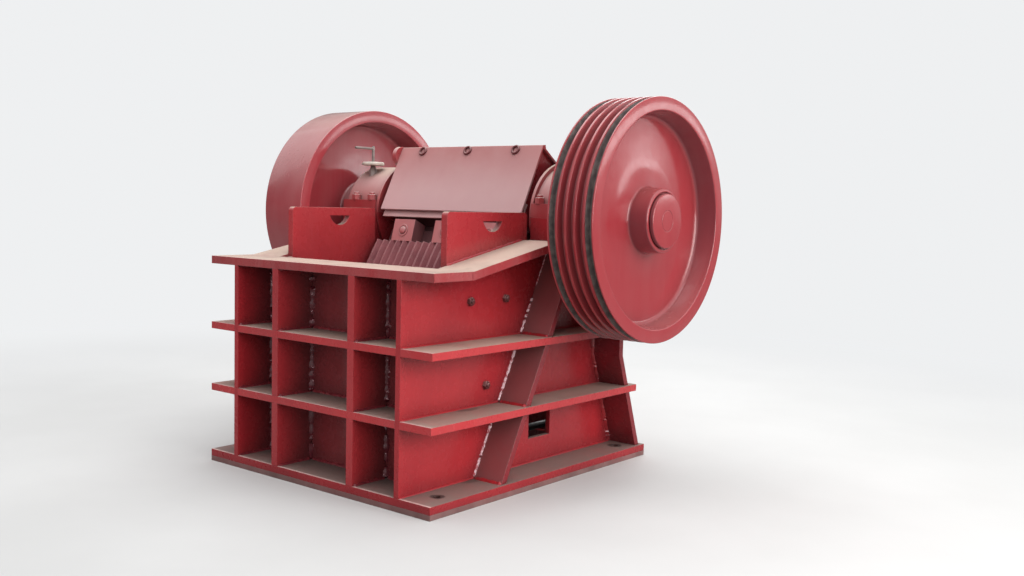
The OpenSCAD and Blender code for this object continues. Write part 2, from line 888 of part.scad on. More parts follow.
// Outer line of the hood: lower front edge, ridge with its folded edge, lower rear edge
function hood_line() = [
    [hood_y, hood_z], [ridge_y, ridge_z], [ridge_y + 0.8 * fold_l, ridge_z + 2],
    [ridge_y + fold_l, ridge_z - hood_fall * fold_l],
    [hood_rear_y, ridge_z - hood_fall * (hood_rear_y - ridge_y)]
];

// Inner corner of the hood's two sheets
function ridge_inside() =
    let (
        back = hood_t / cos(hood_lean),
        under = hood_t * sqrt(1 + hood_fall * hood_fall),
        rise = (ridge_z - hood_z - under - hood_fall * (hood_y + back - ridge_y)) / (1 + hood_fall * tan(hood_lean))
    )
    [hood_y + back + rise * tan(hood_lean), hood_z + rise];

function rear_inside() = [
    hood_rear_y, ridge_z - hood_fall * (hood_rear_y - ridge_y) - hood_t * sqrt(1 + hood_fall * hood_fall)
];

module hood() {
    color(red) {
        across(-hood_half, hood_half)
            polygon(concat(hood_line(), [rear_inside(), ridge_inside(), hood_point(hood_t, 0)]));
        across(-hood_half - ear_t, -hood_half)
            translate([ridge_y, ridge_z] - [3, ear_r - 4]) circle(ear_r);
    }
}

module hood_ends() {
    color(red)
        both() difference() {
            across(barrel_half, barrel_half + hood_t)
                polygon([
                    hood_point(hood_t, guard_up), ridge_inside(), rear_inside(), [hood_rear_y, shaft_z],
                    [ecc_y - 100, shaft_z - 60], hood_point(guard_in + hood_t, -guard_out),
                    hood_point(guard_in + hood_t, guard_up)
                ]);
            turned(shaft_y, shaft_z) cylinder(r = journal_r + 2 * throw + 8, h = wheel_x);
        }
}

// Rings that lie on the front sheet below the ridge
module lifting_rings() {
    place = hood_point(-0.6 * ring_bar, hood_l - ring_down);
    color(dark_red) difference() {
        for (x = [-ring_x, 0, ring_x])
            at_front() translate([x, place[0], place[1]]) rotate([90 - hood_lean, 0, 0])
                rotate_extrude($fn = 32) translate([ring_r, 0]) circle(ring_bar, $fn = 16);
        across(-hood_half, hood_half) polygon(concat(hood_line(), [[hood_rear_y, hood_z]]));
    }
}

module toggle_seat_front() {
    z = base_z + toggle_front_h;
    side = toggle_w / 2 + 15;
    color(steel) difference() {
        block([-side, block_end, z - seat_high], [side, toggle_front + 14, z + seat_high]);
        block([-side - 1, toggle_front - seat_gap, z - seat_high + 14],
            [side + 1, toggle_front + 15, z + seat_high - 14]);
    }
}

sole_plate();
base_flange();
side_plate_left();
side_plate_right();
front_wall();
front_ribs();
lower_flange();
upper_flange();
feed_flange();
bearing_seat_left();
bearing_seat_right();
front_stiffeners();
rear_stiffeners();
rear_wall();
toggle_beam();
toggle_seat_rear();
adjusting_shims();
toggle_plate();
spring_bracket();
tension_rods();
spring_left();
spring_right();
fixed_jaw_plate();
cheek_plate_left();
cheek_plate_right();
bearing_base_left();
bearing_base_right();
bearing_cap_left();
bearing_cap_right();
bearing_cover_left();
bearing_cover_right();
eccentric_shaft();
flywheel();
grooved_pulley();
shaft_cap_left();
shaft_cap_right();
swing_jaw();
swing_jaw_ribs();
swing_jaw_plate();
jaw_wedges();
guard_bar();
hood();
hood_ends();
lifting_rings();
toggle_seat_front();
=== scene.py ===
"""Looks of the single toggle jaw crusher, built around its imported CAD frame.

Lengths are in metres: X runs across towards the grooved pulley, Y from the feed front to the rear and Z up.
"""
import json
import math
import random
from functools import partial

import bmesh
import bpy
import numpy as np
from mathutils import Matrix, Vector


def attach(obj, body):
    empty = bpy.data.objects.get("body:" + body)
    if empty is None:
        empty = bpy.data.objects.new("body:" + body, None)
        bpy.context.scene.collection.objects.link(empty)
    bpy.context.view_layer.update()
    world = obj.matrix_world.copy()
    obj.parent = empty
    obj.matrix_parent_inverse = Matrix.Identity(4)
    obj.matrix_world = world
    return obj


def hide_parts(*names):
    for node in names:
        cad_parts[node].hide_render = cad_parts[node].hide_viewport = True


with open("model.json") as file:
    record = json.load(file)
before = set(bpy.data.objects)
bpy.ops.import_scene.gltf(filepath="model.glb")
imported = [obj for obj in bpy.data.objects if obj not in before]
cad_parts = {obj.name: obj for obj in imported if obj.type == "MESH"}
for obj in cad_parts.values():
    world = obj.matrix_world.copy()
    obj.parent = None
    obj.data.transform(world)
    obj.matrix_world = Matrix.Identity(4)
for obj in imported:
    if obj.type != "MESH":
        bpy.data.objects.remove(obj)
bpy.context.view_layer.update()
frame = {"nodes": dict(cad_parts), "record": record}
nodes = frame["nodes"]
rng = random.Random(7)


# Sizes of the frame and places of what is added to it, in millimetres, with Y from the base's front edge

MM = 0.001
BASE_HALF = 611
BASE_Z = 43
HALF_W = 420
INNER_HALF = 400
FLANGE_HALF = 557
STIFF_HALF = 544
BAY_D = 155
RIB_X, RIB_T = 192, 30
FLANGE_T, TOP_T = 25, 28
LOW_Z, HIGH_Z, FEED_Z, SEAT_Z = BASE_Z + 246, BASE_Z + 475, BASE_Z + 717, BASE_Z + 804
WALL_Y, SLOPE_END = 185, 617
REAR_FOOT, REAR_TOP, REAR_LEAN = 1201, 1070, 0.36
STIFF_FOOT, STIFF_LEAN, STIFF_T = 357, 0.5, 25
CHEEK_Y = 225
SHAFT_Y, SHAFT_Z = 872, 927
WHEEL_R, WHEEL_X, RIM_T = 427, 820, 48
HUB_IN, HUB_END, HUB_R = 615, 826, 115
HOUSING_END = 587
FLY_W, PULLEY_W = 222, 183
GROOVES, GROOVE_PITCH, GROOVE_HALF, GROOVE_DEEP = 5, 36, 14, 22
GROOVE_SLOPE = math.tan(math.radians(18))
CHEEK_NUTS = ((323, 647), (506, 648), (410, 357))
CAP_BOLT_X, CAP_BOLT_Y, COVER_BOLT_R = (430, 522), 196, 122
WEDGE_X = (-218, 0, 218)
OILER_X = 528
REAR_WALL = (1020, 1045, HIGH_Z - 40, SEAT_Z - 68)
TOGGLE_BEAM = (962, 1052, 190, 340)
BRACKET = (1129, 1154, 43, 153)
SPRING_X, SPRING_Z = 200, 98
BASE_BOLT_X, BASE_BOLT_Y = 977 / 2, 1012 / 2
SHAFT_R = 68.1
WEB_IN, WEB_T = 80, 32
JAW_LEAN = math.radians(24)


def along(y):
    """Place in the scene, in metres, of a length from the base's front edge."""
    return (y - BASE_HALF) * MM


# Camera, worked out from the edges of the frame and the two wheels in the photograph

FOCAL_PX = 1064.3
FRAME_PX = 1024
SENSOR = 36.0
CAMERA_PLACE = (2.747, -2.937, 0.978)
YAW, PITCH, ROLL = (math.radians(a) for a in (39.05, 4.58, 1.35))


def make_camera():
    data = bpy.data.cameras.new("camera")
    data.sensor_width = SENSOR
    data.lens = FOCAL_PX / FRAME_PX * SENSOR
    camera = bpy.data.objects.new("camera", data)
    bpy.context.scene.collection.objects.link(camera)
    ahead = Vector((-math.sin(YAW) * math.cos(PITCH), math.cos(YAW) * math.cos(PITCH), -math.sin(PITCH)))
    level = Vector((math.cos(YAW), math.sin(YAW), 0))
    over = level.cross(ahead)
    right = math.cos(ROLL) * level + math.sin(ROLL) * over
    up = right.cross(ahead)
    camera.matrix_world = Matrix.Translation(CAMERA_PLACE) @ Matrix((right, up, -ahead)).transposed().to_4x4()
    bpy.context.scene.camera = camera


# Light: a pale room, brighter overhead and to the right, and broad lamps, strongest above and by the pulley

BACKDROP = (0.86, 0.87, 0.88)
LOW_LIGHT = (0.50, 0.49, 0.49)
HIGH_LIGHT = (0.90, 0.92, 0.95)
BRIGHT_SIDE = (0.93, -0.36, 0)


def make_world():
    s = Shader(bpy.data.worlds.new("room"), "Generated")
    seen = s.add("ShaderNodeLightPath", "Is Camera Ray")
    climb = s.span(s.level(), 0.02, 0.75, kind="LINEAR")
    colour = s.mix(seen, s.mix(climb, LOW_LIGHT, HIGH_LIGHT), BACKDROP)
    lean = s.vector("DOT_PRODUCT", s.place, BRIGHT_SIDE)
    side = s.span(lean, -0.6, 0.9, 0.45, 1.60, "LINEAR")
    vary = s.span(s.noise(3.2, 2.0, 0.5), 0.35, 0.65, 0.62, 1.30, "LINEAR")
    strength = s.math("MULTIPLY", side, vary, clamp=False)
    bright = s.add("ShaderNodeMix", Factor=seen, A=strength, B=1.0)
    background = s.add("ShaderNodeBackground", Color=colour, Strength=bright)
    bpy.context.scene.world = s.give(background, "ShaderNodeOutputWorld")


def make_lamp(name, place, aim, size, power, colour=(1, 1, 1)):
    data = bpy.data.lights.new(name, "AREA")
    data.shape = "RECTANGLE"
    data.size, data.size_y = size
    data.energy = power
    data.color = colour
    lamp = bpy.data.objects.new(name, data)
    bpy.context.scene.collection.objects.link(lamp)
    lamp.location = place
    lamp.rotation_euler = (Vector(aim) - Vector(place)).to_track_quat("-Z", "Y").to_euler()


def make_lights():
    middle = (0, 0, 0.6)
    make_lamp("key", (5.2, 0.1, 1.9), middle, (3.4, 2.6), 128, (1.0, 0.985, 0.96))
    make_lamp("top", (-0.2, 0.4, 4.6), middle, (4.0, 4.0), 115, (0.98, 0.99, 1.0))
    make_lamp("left", (-4.2, -0.6, 3.2), middle, (3.0, 2.5), 12)
    make_lamp("rear", (-1.5, 4.6, 3.0), middle, (3.0, 2.5), 60)
    make_lamp("window", (5.5, 6.7, 1.85), (0.2, 0.3, 1.1), (2.4, 0.7), 14)


# Node materials, in metres


class Shader:
    """The nodes of a material or world; most methods add some and return the socket that they give."""

    def __init__(self, owner, place="Object"):
        self.owner = owner
        owner.use_nodes = True
        self.tree = owner.node_tree
        self.tree.nodes.clear()
        self.place = self.add("ShaderNodeTexCoord", place)

    def add(self, kind, output=0, options=(), **inputs):
        node = self.tree.nodes.new(kind)
        for key, value in dict(options).items():
            setattr(node, key, value)
        for key, value in inputs.items():
            self.put(node.inputs[key.replace("_", " ")], value)
        return node.outputs[output]

    def put(self, socket, value):
        if isinstance(value, bpy.types.NodeSocket):
            self.tree.links.new(value, socket)
        elif isinstance(value, tuple) and len(value) == 3 and socket.type == "RGBA":
            socket.default_value = (*value, 1)
        else:
            socket.default_value = value

    def math(self, operation, *values, clamp=True):
        """A sum on numbers; products are held between 0 and 1 unless clamp is off."""
        node = self.tree.nodes.new("ShaderNodeMath")
        node.operation = operation
        node.use_clamp = clamp and operation == "MULTIPLY"
        for socket, value in zip(node.inputs, values):
            self.put(socket, value)
        return node.outputs[0]

    def stretch(self, x, y, z):
        return self.add("ShaderNodeMapping", Vector=self.place, Scale=(x, y, z))

    def noise(self, scale, detail=3.0, rough=0.55, place=None):
        return self.add("ShaderNodeTexNoise", "Fac", Vector=place or self.place, Scale=scale, Detail=detail,
                        Roughness=rough)

    def span(self, value, low, high, to_low=0.0, to_high=1.0, kind="SMOOTHSTEP"):
        return self.add("ShaderNodeMapRange", 0, {"interpolation_type": kind}, Value=value,
                        From_Min=low, From_Max=high, To_Min=to_low, To_Max=to_high)

    def mix(self, share, first, second):
        node = self.tree.nodes.new("ShaderNodeMix")
        node.data_type = "RGBA"
        self.put(node.inputs[0], share)
        self.put(node.inputs[6], first)
        self.put(node.inputs[7], second)
        return node.outputs[2]

    def bump(self, height, distance, strength=1.0, normal=None):
        inputs = {"Height": height, "Distance": distance, "Strength": strength}
        if normal is not None:
            inputs["Normal"] = normal
        return self.add("ShaderNodeBump", **inputs)

    def height_of_normal(self):
        """How far the surface faces up, from -1 to 1, in the object's own frame."""
        normal = self.add("ShaderNodeTexCoord", "Normal")
        return self.add("ShaderNodeSeparateXYZ", "Z", Vector=normal)

    def level(self):
        """Height of the point above the floor or, in a world, of the direction."""
        return self.add("ShaderNodeSeparateXYZ", "Z", Vector=self.place)

    def split(self):
        """The three coordinates of the point."""
        parts = self.tree.nodes.new("ShaderNodeSeparateXYZ")
        self.tree.links.new(self.place, parts.inputs[0])
        return parts.outputs

    def vector(self, operation, *values, output="Value"):
        node = self.tree.nodes.new("ShaderNodeVectorMath")
        node.operation = operation
        for socket, value in zip(node.inputs, values):
            self.put(socket, value)
        return node.outputs[output]

    def near_holes(self):
        """Share of the oily ring round each of the four base bolts' holes."""
        parts = self.split()
        over = [self.math("ABSOLUTE", parts[axis]) for axis in ("X", "Y")]
        over = [self.math("POWER", self.math("ABSOLUTE", self.math("ADD", o, -at * MM)), 2)
                for o, at in zip(over, (BASE_BOLT_X, BASE_BOLT_Y))]
        ragged = self.span(self.noise(30.0, 4), 0.3, 0.7, -0.0002, 0.0002)
        return self.span(self.math("ADD", self.math("ADD", *over), ragged), 0.0004, 0.0009, 1.0, 0.0)

    def smears(self, spots):
        """Share of dark oily smears; each spot is (x, y, half width, half length) in metres."""
        parts = self.split()
        ragged = self.span(self.noise(26.0, 4), 0.3, 0.7, -0.35, 0.35)
        total = 0.0
        for x, y, wide, long in spots:
            across = self.math("DIVIDE", self.math("SUBTRACT", parts["X"], x), wide)
            back = self.math("DIVIDE", self.math("SUBTRACT", parts["Y"], y), long)
            reach = self.math("ADD", self.math("POWER", self.math("ABSOLUTE", across), 2),
                              self.math("POWER", self.math("ABSOLUTE", back), 2))
            spot = self.span(self.math("ADD", reach, ragged), 0.35, 1.0, 1.0, 0.0)
            total = self.math("MAXIMUM", total, spot)
        return total

    def bay_depth(self):
        """How deep a point lies in the bays of the front, from 0 at the ribs' edges to 1 at the wall."""
        parts = self.split()
        side, top = INNER_HALF * MM, FEED_Z * MM
        deep = self.span(parts["Y"], along(11), along(BAY_D - 9))
        inside = self.span(self.math("ABSOLUTE", parts["X"]), side + 0.002, side + 0.010, 1.0, 0.0)
        under = self.span(parts["Z"], top - 0.025, top - 0.015, 1.0, 0.0)
        return self.math("MULTIPLY", self.math("MULTIPLY", deep, inside), under)

    def hollow(self):
        """Share of a wheel's inner rim and hub side, which face square to the shaft within the hollow."""
        rim = (WHEEL_R - RIM_T) * MM
        spoke = self.add("ShaderNodeMapping", Vector=self.place, Scale=(0, 1, 1),
                         Location=(0, -along(SHAFT_Y), -SHAFT_Z * MM))
        facing = self.vector("DOT_PRODUCT", self.vector("NORMALIZE", spoke, output="Vector"),
                             self.add("ShaderNodeTexCoord", "Normal"))
        square = self.span(self.math("ABSOLUTE", facing), 0.5, 0.95)
        within = self.span(self.vector("LENGTH", spoke), rim + 0.004, rim + 0.016, 1.0, 0.0)
        shaded = self.span(self.height_of_normal(), -0.1, 0.8, 1.0, 0.1)
        return self.math("MULTIPLY", self.math("MULTIPLY", square, within), shaded)

    def edge(self, rounded, low=0.015, high=0.2):
        """Share of an outer edge or inner corner, where the rounded normal leaves the true one."""
        alike = self.vector("DOT_PRODUCT", rounded, self.add("ShaderNodeNewGeometry", "Normal"))
        return self.span(self.math("SUBTRACT", 1.0, alike), low, high)

    def give(self, shader, kind="ShaderNodeOutputMaterial"):
        """Links a shader to the output and returns the material or world."""
        self.tree.links.new(shader, self.tree.nodes.new(kind).inputs["Surface"])
        return self.owner

    def finish(self, **inputs):
        return self.give(self.add("ShaderNodeBsdfPrincipled", **inputs))


DUST = (0.62, 0.50, 0.40)
DUST_LOW = (0.27, 0.215, 0.185)
DUST_AND_SHEEN = (0.62, 0.42, 0.40)
RED = (0.50, 0.028, 0.036)
RED_DEEP = (0.37, 0.022, 0.030)
GRIME_AND_SHADE = (0.055, 0.016, 0.018)
HOLLOW_SHADE = (0.19, 0.056, 0.070)
GLEAM = (0.72, 0.50, 0.50)
RUB, RUB_AND_HIGHLIGHT_TOP = (0.52, 0.11, 0.11), (0.68, 0.42, 0.40)
CAKED_AND_SHADE = (0.10, 0.075, 0.065)
LIP_HIGHLIGHT = (0.78, 0.52, 0.48)
OIL, HOLE_OIL = (0.10, 0.07, 0.06), (0.05, 0.035, 0.03)
BAY_SHADE, BAY_SHADE_TOP = (0.090, 0.034, 0.036), (0.115, 0.088, 0.074)


def paint(name, red=RED, deep=RED_DEEP, dust=0.9, veil_and_sheen=0.30, film_and_sheen=0.01, roughness=0.24, rounding=0.0035,
          stain=0.0, coat=0.12, glow=None, holes=False, lip_highlight=False, smears=(), wheel=False, flank_shade=None,
          bay_shade=False):
    """Glossy red machine paint: dust on what faces up, grime and painted shade in corners, rubbed edges with
    a painted highlight.

    The dust lies thick on level faces and darker low down, partly as painted shade; veil_and_sheen is dust
    and painted sheen on sloping faces, and film_and_sheen the same everywhere. The rest is for single pieces:
    stain is grime in patches, glow a pale painted gleam that fades between two heights, lip_highlight a worn
    front edge with a painted highlight, holes and smears oily spots, wheel the painted shade in a wheel's
    hollow, flank_shade a painted shade on the sides and bay_shade a painted shade deepening into the bays of
    the front.
    """
    s = Shader(bpy.data.materials.new(name))
    up = s.height_of_normal()
    broad = s.noise(1.7, 4)
    patches = s.noise(7.0, 6, 0.62)
    grain = s.noise(170.0, 3)
    runs = s.noise(13.0, 4, 0.6, s.stretch(1, 1, 0.1))
    shelter = s.add("ShaderNodeAmbientOcclusion", "AO", {"samples": 6}, Distance=0.09)
    corner = s.span(shelter, 0.30, 0.95, 1.0, 0.0)
    rounded = s.add("ShaderNodeBevel", 0, {"samples": 6}, Radius=rounding)

    colour = s.mix(s.span(broad, 0.35, 0.68), deep, red)
    colour = s.mix(s.span(runs, 0.50, 0.80, 0.0, 0.16), colour, RED_DEEP)
    colour = s.mix(s.span(s.noise(38.0, 5, 0.65), 0.66, 0.76, 0.0, 0.14), colour, GRIME_AND_SHADE)
    if stain:
        colour = s.mix(s.span(patches, 0.45, 0.75, 0.0, stain), colour, GRIME_AND_SHADE)
    # Painted shade and dirt darken the corners found by ambient occlusion.
    colour = s.mix(s.math("MULTIPLY", corner, 0.55), colour, GRIME_AND_SHADE)
    if wheel:
        colour = s.mix(s.math("MULTIPLY", s.hollow(), 0.65), colour, HOLLOW_SHADE)
    # Painted shade on the faces that look across the machine.
    if flank_shade:
        across = s.add("ShaderNodeSeparateXYZ", "X", Vector=s.add("ShaderNodeTexCoord", "Normal"))
        colour = s.mix(s.span(s.math("ABSOLUTE", across), 0.6, 0.9), colour, flank_shade)
    # Pale dust and painted sheen: strong on faces that slope up, thin everywhere.
    film_sheen_share = s.math("MULTIPLY", s.span(runs, 0.25, 0.75, 0.35, 1.0), film_and_sheen)
    lean = s.math("MULTIPLY", s.span(up, 0.0, 0.75), veil_and_sheen)
    haze_and_sheen = s.math("ADD", film_sheen_share, s.math("MULTIPLY", lean, s.span(patches, 0.2, 0.8, 0.75, 1.0)))
    colour = s.mix(haze_and_sheen, colour, DUST_AND_SHEEN)

    if glow:
        low, high, share = glow
        colour = s.mix(s.span(s.level(), low, high, share, 0.0), colour, GLEAM)

    # Rubbed edges: worn paint, with a pale painted highlight on the edges that face up.
    rubbed = s.math("MULTIPLY", s.edge(rounded), s.span(s.noise(26.0, 4, 0.7), 0.42, 0.62, 0.10, 0.50))
    rubbed = s.math("MULTIPLY", rubbed, s.span(shelter, 0.75, 0.95))
    colour = s.mix(rubbed, colour, s.mix(s.span(up, 0.1, 0.7), RUB, RUB_AND_HIGHLIGHT_TOP))

    cover = s.span(up, 0.66, 0.97)
    thick = s.math("ADD", s.span(patches, 0.28, 0.60, 0.70, 1.0), s.math("MULTIPLY", corner, 0.2))
    lying = s.math("MULTIPLY", s.math("MULTIPLY", cover, thick), dust)
    lying = s.math("MULTIPLY", lying, s.span(grain, 0.2, 0.6, 0.86, 1.0))
    # Dust darker towards the bottom: thinner dust and painted shade of the lower flanges.
    low = s.span(s.level(), 0.02, 0.62, 1.0, 0.0)
    dust_colour = s.mix(low, DUST, DUST_LOW)
    dust_colour = s.mix(s.span(s.noise(4.2, 5, 0.6), 0.50, 0.68, 0.0, 0.45), dust_colour, DUST_LOW)
    # Dust darker in corners: caked dust and painted shade.
    dust_colour = s.mix(s.math("MULTIPLY", corner, 0.6), dust_colour, CAKED_AND_SHADE)
    colour = s.mix(lying, colour, dust_colour)
    # Pale front edge of the top: worn paint and a painted highlight of its rounded edge.
    if lip_highlight:
        front = s.span(s.split()["Y"], along(7), along(12), 1.0, 0.0)
        ragged = s.span(s.noise(22.0, 4), 0.3, 0.55, 0.45, 1.0)
        colour = s.mix(s.math("MULTIPLY", s.math("MULTIPLY", front, cover), ragged), colour, LIP_HIGHLIGHT)
    if smears:
        colour = s.mix(s.math("MULTIPLY", s.smears(smears), 0.6), colour, OIL)
    if holes:
        colour = s.mix(s.math("MULTIPLY", s.near_holes(), 0.88), colour, HOLE_OIL)

    # Painted shade that deepens towards the back of the bays in the front, paler on faces that look up.
    if bay_shade:
        colour = s.mix(s.math("MULTIPLY", s.bay_depth(), 0.62), colour, s.mix(cover, BAY_SHADE, BAY_SHADE_TOP))

    rough = s.math("ADD", s.span(s.noise(24.0, 4), 0.3, 0.7, roughness - 0.04, roughness + 0.08),
                   s.math("MULTIPLY", s.math("ADD", lying, lean), 0.5))
    normal = s.bump(s.noise(2.4, 2), 0.006, 0.35, rounded)
    normal = s.bump(s.noise(420.0, 2), 0.0004, 0.25, normal)
    normal = s.bump(s.math("MULTIPLY", grain, lying), 0.0012, 0.6, normal)
    return s.finish(Base_Color=colour, Roughness=rough, Normal=normal, Specular_IOR_Level=0.45,
                    Coat_Weight=coat, Coat_Roughness=0.1)


def cast(name):
    """Manganese steel castings: rough skin, painted over in thin maroon and dusty, with rubbed tips."""
    s = Shader(bpy.data.materials.new(name))
    up = s.height_of_normal()
    skin = s.noise(55.0, 6, 0.65)
    patches = s.noise(9.0, 5)
    rounded = s.add("ShaderNodeBevel", 0, {"samples": 6}, Radius=0.003)
    colour = s.mix(s.span(patches, 0.3, 0.7), (0.22, 0.052, 0.062), (0.32, 0.088, 0.098))
    colour = s.mix(s.span(skin, 0.52, 0.78, 0.0, 0.5), colour, (0.36, 0.20, 0.18))
    tips = s.math("MULTIPLY", s.edge(rounded, 0.02, 0.12), s.span(skin, 0.35, 0.6, 0.3, 1.0))
    colour = s.mix(s.math("MULTIPLY", tips, 0.85), colour, (0.58, 0.31, 0.31))
    colour = s.mix(s.math("MULTIPLY", s.span(up, 0.3, 0.95), 0.5), colour, DUST_AND_SHEEN)
    normal = s.bump(skin, 0.0026, 0.7, rounded)
    rough = s.span(skin, 0.3, 0.7, 0.5, 0.72)
    return s.finish(Base_Color=colour, Roughness=rough, Normal=normal, Metallic=0.1)


def steel(name, tone=(0.22, 0.20, 0.19), metallic=0.8, rust=0.6, dust=0.4, shine=0.5):
    """Bare steel, oily and dusty, with specks of rust."""
    s = Shader(bpy.data.materials.new(name))
    up = s.height_of_normal()
    spots = s.noise(22.0, 6, 0.6)
    colour = s.mix(s.span(spots, 0.35, 0.7), tone, tuple(0.5 * c for c in tone))
    colour = s.mix(s.span(s.noise(60.0, 5), 0.58, 0.7, 0.0, rust), colour, (0.16, 0.07, 0.04))
    colour = s.mix(s.math("MULTIPLY", s.span(up, 0.4, 1.0), dust), colour, DUST_LOW)
    rounded = s.add("ShaderNodeBevel", 0, {"samples": 4}, Radius=0.0015)
    normal = s.bump(spots, 0.0006, 0.5, rounded)
    rough = s.span(spots, 0.3, 0.7, 0.32, 0.55)
    return s.finish(Base_Color=colour, Roughness=rough, Normal=normal, Metallic=metallic,
                    Specular_IOR_Level=shine)


def weld(name, low, high, roughness, start=0.42, end=0.60, scale=90.0):
    """Weld metal: ripples across the bead come from its mesh, and spatter and soot from noise."""
    s = Shader(bpy.data.materials.new(name))
    blots = s.noise(scale, 5, 0.7)
    colour = s.mix(s.span(blots, start, end), low, high)
    normal = s.bump(s.noise(320.0, 3), 0.0008, 0.8)
    return s.finish(Base_Color=colour, Roughness=roughness, Normal=normal, Specular_IOR_Level=0.5)


def rubber(name):
    """Dark rubbings that belts leave in a groove."""
    s = Shader(bpy.data.materials.new(name))
    streaks = s.noise(40.0, 4)
    colour = s.mix(s.span(streaks, 0.35, 0.7), (0.115, 0.092, 0.088), (0.21, 0.170, 0.158))
    return s.finish(Base_Color=colour, Roughness=s.span(streaks, 0.3, 0.7, 0.4, 0.6), Specular_IOR_Level=0.4)


RED_PAINT = paint("red_paint", bay_shade=True)
SLOTS = {
    "red_paint": RED_PAINT,
    "jaw_steel": cast("jaw_steel"),
    "machined_steel": steel("machined_steel"),
    "spring_steel": steel("spring_steel", (0.03, 0.03, 0.032), 0.2),
}
WHEEL_PAINT = paint("wheel_paint", red=(0.44, 0.032, 0.042), deep=(0.38, 0.028, 0.038), dust=0.06, veil_and_sheen=0.12,
                    film_and_sheen=0.05, roughness=0.13, rounding=0.002, coat=0.5, wheel=True)
# The flywheel's pale cast is dust and painted reflection on its web and rim.
FLY_PAINT = paint("fly_paint", red=(0.44, 0.036, 0.050), deep=(0.38, 0.032, 0.045), dust=0.30, veil_and_sheen=0.40,
                  film_and_sheen=0.10, roughness=0.12, rounding=0.002, coat=0.8, wheel=True)
# The hood's pale pink is dust and painted reflection of the bright room, with a painted gleam low on its
# slope.
HOOD_PAINT = paint("hood_paint", dust=0.5, veil_and_sheen=0.78, film_and_sheen=0.05, roughness=0.3, glow=(0.99, 1.20, 0.55))
# The guard bar's pale pink is dust and a painted highlight of the light it catches.
GUARD_PAINT = paint("guard_paint", red=(0.95, 0.58, 0.57), deep=(0.90, 0.54, 0.53), dust=0.0, veil_and_sheen=0.0,
                    film_and_sheen=0.0, roughness=0.35)
NUT_PAINT = paint("nut_paint", red=(0.13, 0.030, 0.030), deep=(0.09, 0.022, 0.022), dust=0.5, veil_and_sheen=0.6,
                  film_and_sheen=0.02, roughness=0.22, rounding=0.0015, coat=0.5)
# Wedge fronts lightened as painted light, their sides darkened as painted shade.
WEDGE_PAINT = paint("wedge_paint", red=(0.66, 0.12, 0.13), deep=(0.58, 0.10, 0.11), dust=0.5, veil_and_sheen=0.7,
                    film_and_sheen=0.22, roughness=0.35, flank_shade=(0.16, 0.022, 0.032))
CHEEK_PAINT = paint("cheek_paint", red=(0.52, 0.034, 0.042), deep=(0.43, 0.028, 0.036), film_and_sheen=0.04,
                    roughness=0.26)
HOUSING_PAINT = paint("housing_paint", dust=0.95, veil_and_sheen=0.80, film_and_sheen=0.10, roughness=0.4)
# The bolts' pale cast is dust and painted glints.
BOLT_PAINT = paint("bolt_paint", dust=0.6, veil_and_sheen=0.8, film_and_sheen=0.25, roughness=0.22, rounding=0.0015)
JAW_PAINT = paint("jaw_paint", red=(0.13, 0.015, 0.022), deep=(0.08, 0.012, 0.018), dust=0.1, veil_and_sheen=0.08,
                  film_and_sheen=0.02, roughness=0.4, stain=0.4)
RING_PAINT = paint("ring_paint", red=(0.20, 0.022, 0.028), deep=(0.14, 0.018, 0.022), dust=0.3, veil_and_sheen=0.3)
BASE_PAINT = paint("base_paint", holes=True, lip_highlight=True, bay_shade=True, smears=((0.420, -0.280, 0.045, 0.060),))
SOLE_PAINT = paint("sole_paint", red=(0.30, 0.085, 0.080), deep=(0.16, 0.075, 0.065), film_and_sheen=0.25,
                   roughness=0.5, stain=0.4)
# A lighter copy of the red paint for the front ribs, as painted light on the sides of the bays.
FRONT_LIT_PAINT = paint("front_lit_paint", red=(0.54, 0.038, 0.046), deep=(0.44, 0.030, 0.038), film_and_sheen=0.03, bay_shade=True)
# A darker copy of the red paint for the wall at the back of the bays, as painted shade, with some stain.
WALL_SHADE_PAINT = paint("wall_shade_paint", red=(0.29, 0.036, 0.042), deep=(0.23, 0.031, 0.037), film_and_sheen=0.03, stain=0.15)
# A darker copy of the red paint for the stiffeners, as painted shade, with some stain.
STIFF_SHADE_PAINT = paint("stiff_shade_paint", red=(0.30, 0.026, 0.034), deep=(0.22, 0.020, 0.028), stain=0.2)
SEAM_PAINT = paint("seam_paint", dust=0.0, veil_and_sheen=0.0, film_and_sheen=0.0, roughness=0.35)
# A lighter copy of the red paint for the upper and lower flanges, as painted light on their edges.
LIT_EDGE_RED, LIT_EDGE_DEEP = (0.62, 0.034, 0.042), (0.48, 0.028, 0.036)
FEED_PAINT = paint("feed_paint", film_and_sheen=0.16, veil_and_sheen=0.4, lip_highlight=True)
FLANGE_PAINT = paint("flange_paint", LIT_EDGE_RED, LIT_EDGE_DEEP, film_and_sheen=0.06, veil_and_sheen=0.4, lip_highlight=True, bay_shade=True)
LOWER_PAINT = paint("lower_paint", LIT_EDGE_RED, LIT_EDGE_DEEP, film_and_sheen=0.06, veil_and_sheen=0.4, lip_highlight=True, bay_shade=True,
                    smears=((0.440, -0.315, 0.022, 0.055),))
DARK_STEEL = steel("dark_steel", (0.022, 0.020, 0.020), 0.05, 0.35, 0.12, 0.25)
